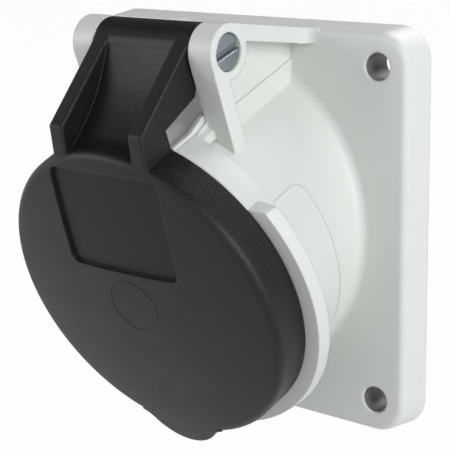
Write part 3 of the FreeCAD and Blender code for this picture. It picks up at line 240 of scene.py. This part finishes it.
def moulded_grain():
    """Fine spark-eroded grain: a height for bump, and a colour and gloss that vary with it."""
    if "moulded grain" in bpy.data.node_groups:
        return bpy.data.node_groups["moulded grain"]
    group, start, end = node_group(
        "moulded grain",
        [("Vector", "NodeSocketVector", (0, 0, 0)), ("Size", "NodeSocketFloat", 0.0002),
         ("Roughness", "NodeSocketFloat", 0.5), ("Roughness change", "NodeSocketFloat", 0.1),
         ("Base", "NodeSocketColor", (0.5, 0.5, 0.5, 1)),
         ("Shade change", "NodeSocketFloat", 0.1)],
        [("Color", "NodeSocketColor"), ("Roughness", "NodeSocketFloat"),
         ("Height", "NodeSocketFloat")])
    fine = group.nodes.new("ShaderNodeTexNoise")
    fine.inputs["Detail"].default_value = 2.0
    coarse = group.nodes.new("ShaderNodeTexNoise")
    coarse.inputs["Detail"].default_value = 1.0
    group.links.new(start.outputs["Vector"], fine.inputs["Vector"])
    group.links.new(start.outputs["Vector"], coarse.inputs["Vector"])
    frequency = math_node(group, "DIVIDE", 1.0, start.outputs["Size"])
    group.links.new(frequency, fine.inputs["Scale"])
    group.links.new(math_node(group, "MULTIPLY", frequency, 0.03), coarse.inputs["Scale"])
    speckle = math_node(group, "SUBTRACT", fine.outputs["Fac"], 0.5)
    cloud = math_node(group, "SUBTRACT", coarse.outputs["Fac"], 0.5)
    both = math_node(group, "ADD", speckle, math_node(group, "MULTIPLY", cloud, 0.4))
    rough = math_node(group, "MULTIPLY", both, start.outputs["Roughness change"])
    gloss = math_node(group, "ADD", rough, start.outputs["Roughness"])
    group.links.new(gloss, end.inputs["Roughness"])
    shade = math_node(group, "MULTIPLY", both, start.outputs["Shade change"])
    factor = math_node(group, "ADD", shade, 1.0)
    scaled = group.nodes.new("ShaderNodeVectorMath")
    scaled.operation = "SCALE"
    group.links.new(start.outputs["Base"], scaled.inputs[0])
    group.links.new(factor, scaled.inputs["Scale"])
    group.links.new(scaled.outputs[0], end.inputs["Color"])
    group.links.new(fine.outputs["Fac"], end.inputs["Height"])
    return group


def finish_material(name, colour, size, bump, roughness, rough_change, shade_change,
                    metallic=0.0, specular=0.5, edge=0.0):
    """A material on the moulded grain group; size is the grain's and edge the edges' rounding."""
    material = bpy.data.materials.new(name)
    material.use_nodes = True
    tree = material.node_tree
    shader = tree.nodes["Principled BSDF"]
    shader.inputs["Metallic"].default_value = metallic
    shader.inputs["Specular IOR Level"].default_value = specular
    grain = tree.nodes.new("ShaderNodeGroup")
    grain.node_tree = moulded_grain()
    places = tree.nodes.new("ShaderNodeTexCoord")
    tree.links.new(places.outputs["Object"], grain.inputs["Vector"])
    grain.inputs["Size"].default_value = size
    grain.inputs["Roughness"].default_value = roughness
    grain.inputs["Roughness change"].default_value = rough_change
    grain.inputs["Base"].default_value = (*colour, 1)
    grain.inputs["Shade change"].default_value = shade_change
    relief = tree.nodes.new("ShaderNodeBump")
    relief.inputs["Strength"].default_value = 1.0
    relief.inputs["Distance"].default_value = bump
    if edge > 0:
        soft = tree.nodes.new("ShaderNodeBevel")
        soft.samples = 6
        soft.inputs["Radius"].default_value = edge
        tree.links.new(soft.outputs["Normal"], relief.inputs["Normal"])
    tree.links.new(grain.outputs["Height"], relief.inputs["Height"])
    tree.links.new(relief.outputs["Normal"], shader.inputs["Normal"])
    tree.links.new(grain.outputs["Color"], shader.inputs["Base Color"])
    tree.links.new(grain.outputs["Roughness"], shader.inputs["Roughness"])
    return material


def housing_finish(context):
    tone = look(context)
    return finish_material(
        "housing plastic", tone.housing, tone.grain, bump=0.004 * MM, roughness=0.42,
        rough_change=0.10, shade_change=0.02, edge=tone.edge)


def painted_hole_shade_finish(context):
    """The same plastic, darkened with painted shade that stands in for the shadow down in the
    fixing holes.
    """
    tone = look(context)
    shade = [part * tone.hole_painted_shade for part in tone.housing]
    return finish_material(
        "fixing hole wall", shade, tone.grain, bump=0.004 * MM, roughness=0.5,
        rough_change=0.10, shade_change=0.02)


def lid_finish(context):
    tone = look(context)
    return finish_material(
        "lid plastic", tone.lid, tone.lid_grain, bump=0.065 * MM, roughness=0.44,
        rough_change=0.3, shade_change=0.6, specular=0.30, edge=tone.edge)


def label_finish(context):
    """Smoother floor of the sunk place on the lid."""
    tone = look(context)
    return finish_material(
        "label place", tone.lid, tone.grain, bump=0.001 * MM, roughness=0.5,
        rough_change=0.05, shade_change=0.1, specular=0.26)


def rubber_finish(context):
    tone = look(context)
    return finish_material(
        "seal rubber", tone.rubber, tone.grain, bump=0.01 * MM, roughness=0.7,
        rough_change=0.2, shade_change=0.2)


def zinc_finish(context):
    tone = look(context)
    return finish_material(
        "plated steel", tone.zinc, 0.3 * MM, bump=0.003 * MM, roughness=0.33,
        rough_change=0.15, shade_change=0.12, metallic=0.9, edge=0.15 * MM)


def wire_finish(context):
    tone = look(context)
    return finish_material(
        "spring wire", tone.wire, 0.15 * MM, bump=0.002 * MM, roughness=0.28,
        rough_change=0.15, shade_change=0.1, metallic=1.0)


def insulator_finish(context):
    tone = look(context)
    return finish_material(
        "contact block plastic", tone.insulator, tone.grain, bump=0.006 * MM, roughness=0.55,
        rough_change=0.1, shade_change=0.08, edge=0.2 * MM)


def contact_finish(context):
    tone = look(context)
    return finish_material(
        "plated brass", tone.contact, 0.2 * MM, bump=0.002 * MM, roughness=0.3,
        rough_change=0.1, shade_change=0.08, metallic=1.0)


def cad_nodes():
    """The carried-over meshes by the name of their node."""
    return {o.name.split(".")[0]: o for o in bpy.data.objects if o.type == "MESH"}


def dress(node, material):
    """Gives a carried-over CAD node its finish."""
    thing = cad_nodes()[node]
    thing.data.materials.clear()
    thing.data.materials.append(material)


def smooth_below(work, angle):
    """Rounds the shading over edges that turn less than the angle."""
    for face in work.faces:
        face.smooth = True
    for edge in work.edges:
        edge.smooth = len(edge.link_faces) == 2 and edge.calc_face_angle(0.0) < angle


def merged_copy(node, name, body, material):
    """A welded copy of a CAD node, smooth except at its real edges, which stands for it."""
    source = cad_nodes()[node]
    mesh = source.data.copy()
    mesh.name = name
    work = bmesh.new()
    work.from_mesh(mesh)
    bmesh.ops.remove_doubles(work, verts=work.verts, dist=WELD * MM)
    smooth_below(work, MOULDED_EDGE)
    work.to_mesh(mesh)
    work.free()
    stored = mesh.attributes.get("custom_normal")
    if stored:
        mesh.attributes.remove(stored)
    mesh.materials.clear()
    mesh.materials.append(material)
    piece = bpy.data.objects.new(name, mesh)
    bpy.context.scene.collection.objects.link(piece)
    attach(piece, body)
    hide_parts(node)
    return piece


def bead(name, points, width, stand, body, material, closed=False):
    """A thin moulded line along points in the socket's frame; stand is how far it is raised."""
    curve = bpy.data.curves.new(name, "CURVE")
    curve.dimensions = "3D"
    curve.bevel_depth = width / 2
    curve.bevel_resolution = 2
    run = curve.splines.new("POLY")
    run.points.add(len(points) - 1)
    for knot, (place, outward) in zip(run.points, points):
        knot.co = (*(place + outward * (stand - width / 2)), 1)
    run.use_cyclic_u = closed
    rope = bpy.data.objects.new(name, curve)
    bpy.context.scene.collection.objects.link(rope)
    bpy.context.view_layer.update()
    mesh = bpy.data.meshes.new_from_object(rope)
    bpy.data.objects.remove(rope)
    mesh.name = name
    mesh.transform(socket_frame())
    for face in mesh.polygons:
        face.use_smooth = True
    mesh.materials.clear()
    mesh.materials.append(material)
    piece = bpy.data.objects.new(name, mesh)
    bpy.context.scene.collection.objects.link(piece)
    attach(piece, body)
    return piece


def on_tube(angle, station):
    """A spot on the tube and the way out of it, from an angle above the right side."""
    outward = Vector((math.cos(angle), math.sin(angle), 0))
    return TUBE_RADIUS * outward + Vector((0, 0, station)), outward


class SOCKET_OT_tube_field(bpy.types.Operator):
    """Thin outline of the bare field on the right of the tube."""
    bl_idname = "socket.tube_field"
    bl_label = "Tube field"

    def execute(self, context):
        sizes = context.scene.socket_fine_sizes
        corner = sizes.field_corner / MM
        swing = corner / TUBE_RADIUS
        rear = sizes.field_rear / MM
        path = [on_tube(sizes.field_high, BAND_REAR)]
        for step in range(CORNER_STEPS + 1):
            turn = math.radians(90) * step / CORNER_STEPS
            path.append(on_tube(sizes.field_high - swing * (1 - math.cos(turn)),
                                rear + corner * (1 - math.sin(turn))))
        for step in range(1, LONG_STEPS):
            share = step / LONG_STEPS
            first, last = sizes.field_high - swing, sizes.field_low + swing
            path.append(on_tube(first + share * (last - first), rear))
        for step in range(CORNER_STEPS + 1):
            turn = math.radians(90) * step / CORNER_STEPS
            path.append(on_tube(sizes.field_low + swing * (1 - math.sin(turn)),
                                rear + corner * (1 - math.cos(turn))))
        path.append(on_tube(sizes.field_low, BAND_REAR))
        piece = bead("tube_field", path, sizes.line / MM, sizes.line_stand / MM, "housing",
                     housing_finish(context))
        return {"FINISHED"}


class SOCKET_OT_lid_field(bpy.types.Operator):
    """Faint outline of the bare round field in the middle of the lid."""
    bl_idname = "socket.lid_field"
    bl_label = "Lid field"

    def execute(self, context):
        sizes = context.scene.socket_fine_sizes
        radius = sizes.lid_field_radius / MM
        middle = Vector((sizes.lid_field_across / MM, sizes.lid_field_up / MM, 0))
        centre = Vector((0, 0, LID_TOP - LID_DOME))
        path = []
        for step in range(LONG_STEPS):
            turn = 2 * math.pi * step / LONG_STEPS
            flat = middle + radius * Vector((math.cos(turn), math.sin(turn), 0))
            rise = math.sqrt(LID_DOME ** 2 - flat.length_squared)
            place = centre + flat + Vector((0, 0, rise))
            path.append((place, (place - centre).normalized()))
        piece = bead("lid_field", path, sizes.line / MM, sizes.line_stand / MM / 2, "lid",
                     lid_finish(context), closed=True)
        return {"FINISHED"}


class SOCKET_OT_housing(bpy.types.Operator):
    """Light grey moulded housing."""
    bl_idname = "socket.housing"
    bl_label = "Housing"

    def execute(self, context):
        piece = merged_copy("housing_body", "housing", "housing", housing_finish(context))
        piece.data.materials.append(painted_hole_shade_finish(context))
        # The walls of the fixing holes get the painted shade, a darker copy of the housing colour
        # that stands in for their shadow.
        for face in piece.data.polygons:
            across, up = (abs(face.center[axis]) / MM - HOLE_PLACE for axis in (0, 2))
            if math.hypot(across, up) < HOLE_RADIUS and abs(face.normal.y) < 0.1:
                face.material_index = 1
        return {"FINISHED"}


class SOCKET_OT_lid(bpy.types.Operator):
    """Near black moulded lid."""
    bl_idname = "socket.lid"
    bl_label = "Lid"

    def execute(self, context):
        piece = merged_copy("lid", "lid_cap", "lid", lid_finish(context))
        piece.data.materials.append(label_finish(context))
        into = socket_frame().inverted()
        centre = Vector((0, 0, LID_TOP - LID_DOME))
        for face in piece.data.polygons:
            corners = [into @ piece.data.vertices[index].co for index in face.vertices]
            middle = sum(corners, Vector()) / len(corners)
            inside = all(low < part < high
                         for low, part, high in zip(LABEL_LOW, middle, LABEL_HIGH))
            sunk = [abs((corner - centre).length - LID_DOME + LABEL_DEPTH) for corner in corners]
            if inside and max(sunk) < NEAR:
                face.material_index = 1
        return {"FINISHED"}


class SOCKET_OT_seals(bpy.types.Operator):
    """Panel seal and lid seal."""
    bl_idname = "socket.seals"
    bl_label = "Seals"

    def execute(self, context):
        rubber = rubber_finish(context)
        for node in ("flange_gasket", "lid_gasket"):
            dress(node, rubber)
        return {"FINISHED"}


def chamfered_head(piece, width):
    """Breaks the edges of the screw's head and of its slot, at the piece's far end in X."""
    work = bmesh.new()
    work.from_mesh(piece.data)
    bmesh.ops.dissolve_limit(work, angle_limit=FLAT_ANGLE, verts=work.verts, edges=work.edges)
    front = max(vert.co.x for vert in work.verts) - NEAR * MM
    rim = [edge for edge in work.edges
           if min(vert.co.x for vert in edge.verts) > front
           and edge.calc_face_angle(0.0) > MOULDED_EDGE]
    bmesh.ops.bevel(work, geom=rim, offset=width, affect="EDGES", segments=1, profile=0.5,
                    material=-1, clamp_overlap=True)
    smooth_below(work, TURNED_EDGE)
    work.to_mesh(piece.data)
    work.free()


class SOCKET_OT_metal(bpy.types.Operator):
    """Hinge screw, nut, spring, screws, contact sleeves and their spring rings."""
    bl_idname = "socket.metal"
    bl_label = "Metal pieces"

    def execute(self, context):
        zinc = zinc_finish(context)
        wire = wire_finish(context)
        plated = contact_finish(context)
        for node in cad_nodes():
            if node in ("hinge_nut", "terminal_screws", "carrier_screws", "centre_screw"):
                dress(node, zinc)
            elif node == "lid_spring" or node.startswith("contact_clip"):
                dress(node, wire)
            elif "sleeve" in node:
                dress(node, plated)
        screw = merged_copy("hinge_screw", "hinge_pin", "housing", zinc)
        chamfered_head(screw, context.scene.socket_fine_sizes.head_chamfer)
        return {"FINISHED"}


class SOCKET_OT_contact_block(bpy.types.Operator):
    """Insulating block and the plate behind it."""
    bl_idname = "socket.contact_block"
    bl_label = "Contact block"

    def execute(self, context):
        plastic = insulator_finish(context)
        for node in ("contact_carrier", "contact_cover", "carrier_retainer"):
            dress(node, plastic)
        return {"FINISHED"}


def soft_light(name, place, width, height, power):
    """A rectangular light that points at the socket."""
    lamp = bpy.data.lights.new(name, "AREA")
    lamp.shape = "RECTANGLE"
    lamp.size = width
    lamp.size_y = height
    lamp.energy = power
    thing = bpy.data.objects.new(name, lamp)
    bpy.context.scene.collection.objects.link(thing)
    thing.location = place
    aim = Vector(LIT_SPOT) - Vector(place)
    thing.rotation_euler = aim.to_track_quat("-Z", "Y").to_euler()


def seen_directly(tree):
    """1 where a camera, glossy or transmission ray meets the surface."""
    rays = tree.nodes.new("ShaderNodeLightPath")
    total = math_node(tree, "ADD", rays.outputs["Is Camera Ray"], rays.outputs["Is Glossy Ray"])
    total = math_node(tree, "ADD", total, rays.outputs["Is Transmission Ray"])
    return math_node(tree, "MINIMUM", total, 1.0)


def floor_material():
    """Pale floor that shows nearly white and keeps a soft shadow."""
    material = bpy.data.materials.new("studio floor")
    material.use_nodes = True
    tree = material.node_tree
    tree.nodes.remove(tree.nodes["Principled BSDF"])
    paint = tree.nodes.new("ShaderNodeBsdfDiffuse")
    paint.inputs["Color"].default_value = (*(FLOOR_SHADE,) * 3, 1)
    glow = tree.nodes.new("ShaderNodeEmission")
    glow.inputs["Strength"].default_value = 1.0
    blend = tree.nodes.new("ShaderNodeMixShader")
    weight = math_node(tree, "MULTIPLY", seen_directly(tree), FLOOR_GLOW)
    tree.links.new(weight, blend.inputs["Fac"])
    tree.links.new(paint.outputs[0], blend.inputs[1])
    tree.links.new(glow.outputs[0], blend.inputs[2])
    tree.links.new(blend.outputs[0], tree.nodes["Material Output"].inputs["Surface"])
    return material


def studio_world(scene, strength, overhead):
    """Soft light from all round, darker above, and plain white where it is seen."""
    world = bpy.data.worlds.new("studio")
    scene.world = world
    world.use_nodes = True
    tree = world.node_tree
    shade = tree.nodes["Background"]
    shade.inputs["Color"].default_value = (1, 1, 1, 1)
    level = math_node(tree, "MULTIPLY", seen_directly(tree), 1.0 - strength)
    level = math_node(tree, "ADD", level, strength)
    direction = tree.nodes.new("ShaderNodeTexCoord")
    side = tree.nodes.new("ShaderNodeVectorMath")
    side.operation = "DOT_PRODUCT"
    side.inputs[1].default_value = DARK_SIDE
    tree.links.new(direction.outputs["Generated"], side.inputs[0])
    fall = tree.nodes.new("ShaderNodeMapRange")
    fall.interpolation_type = "SMOOTHSTEP"
    fall.inputs["From Min"].default_value = 0.0
    fall.inputs["From Max"].default_value = DARK_REACH
    fall.inputs["To Min"].default_value = 1.0
    fall.inputs["To Max"].default_value = overhead
    tree.links.new(side.outputs["Value"], fall.inputs["Value"])
    tree.links.new(math_node(tree, "MULTIPLY", level, fall.outputs[0]), shade.inputs["Strength"])


def product_camera(scene, stage):
    """The camera of the product view."""
    camera = bpy.data.cameras.new("product view")
    camera.sensor_width = 36.0
    camera.lens = stage.lens
    camera.clip_start = 0.01
    camera.clip_end = 20.0
    thing = bpy.data.objects.new("product view", camera)
    scene.collection.objects.link(thing)
    ahead = Vector((-math.sin(stage.azimuth) * math.cos(stage.elevation),
                    math.cos(stage.azimuth) * math.cos(stage.elevation),
                    -math.sin(stage.elevation)))
    turn = ahead.to_track_quat("-Z", "Y").to_matrix() @ Matrix.Rotation(stage.roll, 3, "Z")
    thing.matrix_world = Matrix.Translation(stage.place) @ turn.to_4x4()
    scene.camera = thing


def studio_floor(scene, gap):
    """The pale floor, a gap below the origin."""
    mesh = bpy.data.meshes.new("floor")
    work = bmesh.new()
    bmesh.ops.create_grid(work, x_segments=1, y_segments=1, size=FLOOR_HALF)
    bmesh.ops.translate(work, verts=work.verts, vec=(0, 0, -gap))
    work.to_mesh(mesh)
    work.free()
    mesh.materials.append(floor_material())
    floor = bpy.data.objects.new("floor", mesh)
    scene.collection.objects.link(floor)


class SOCKET_OT_stage(bpy.types.Operator):
    """Camera, pale floor, white surroundings and soft lights."""
    bl_idname = "socket.stage"
    bl_label = "Stage"

    def execute(self, context):
        scene = context.scene
        stage = scene.socket_stage
        product_camera(scene, stage)
        studio_floor(scene, stage.floor_gap)
        studio_world(scene, stage.ambient, stage.overhead)
        for name, place, width, height in LIGHTS:
            soft_light(name, place, width, height, getattr(stage, name))
        scene.view_settings.view_transform = "Standard"
        return {"FINISHED"}


class SOCKET_PT_pieces(bpy.types.Panel):
    """Lists the steps that dress the socket."""
    bl_label = "Panel Socket"
    bl_idname = "SOCKET_PT_pieces"
    bl_space_type = "VIEW_3D"
    bl_region_type = "UI"
    bl_category = "Panel Socket"

    def draw(self, context):
        for step in STEPS:
            self.layout.operator(step.bl_idname)


STEPS = (
    SOCKET_OT_housing,
    SOCKET_OT_lid,
    SOCKET_OT_seals,
    SOCKET_OT_metal,
    SOCKET_OT_contact_block,
    SOCKET_OT_tube_field,
    SOCKET_OT_lid_field,
    SOCKET_OT_stage,
)
CLASSES = (SocketFinishes, SocketFineSizes, SocketStage, *STEPS, SOCKET_PT_pieces)


def register():
    for item in CLASSES:
        bpy.utils.register_class(item)
    bpy.types.Scene.socket_finishes = PointerProperty(type=SocketFinishes)
    bpy.types.Scene.socket_fine_sizes = PointerProperty(type=SocketFineSizes)
    bpy.types.Scene.socket_stage = PointerProperty(type=SocketStage)


def unregister():
    del bpy.types.Scene.socket_stage
    del bpy.types.Scene.socket_fine_sizes
    del bpy.types.Scene.socket_finishes
    for item in reversed(CLASSES):
        bpy.utils.unregister_class(item)


def main():
    register()
    for step in STEPS:
        group, name = step.bl_idname.split(".")
        getattr(getattr(bpy.ops, group), name)()


if __name__ == "__main__":
    main()
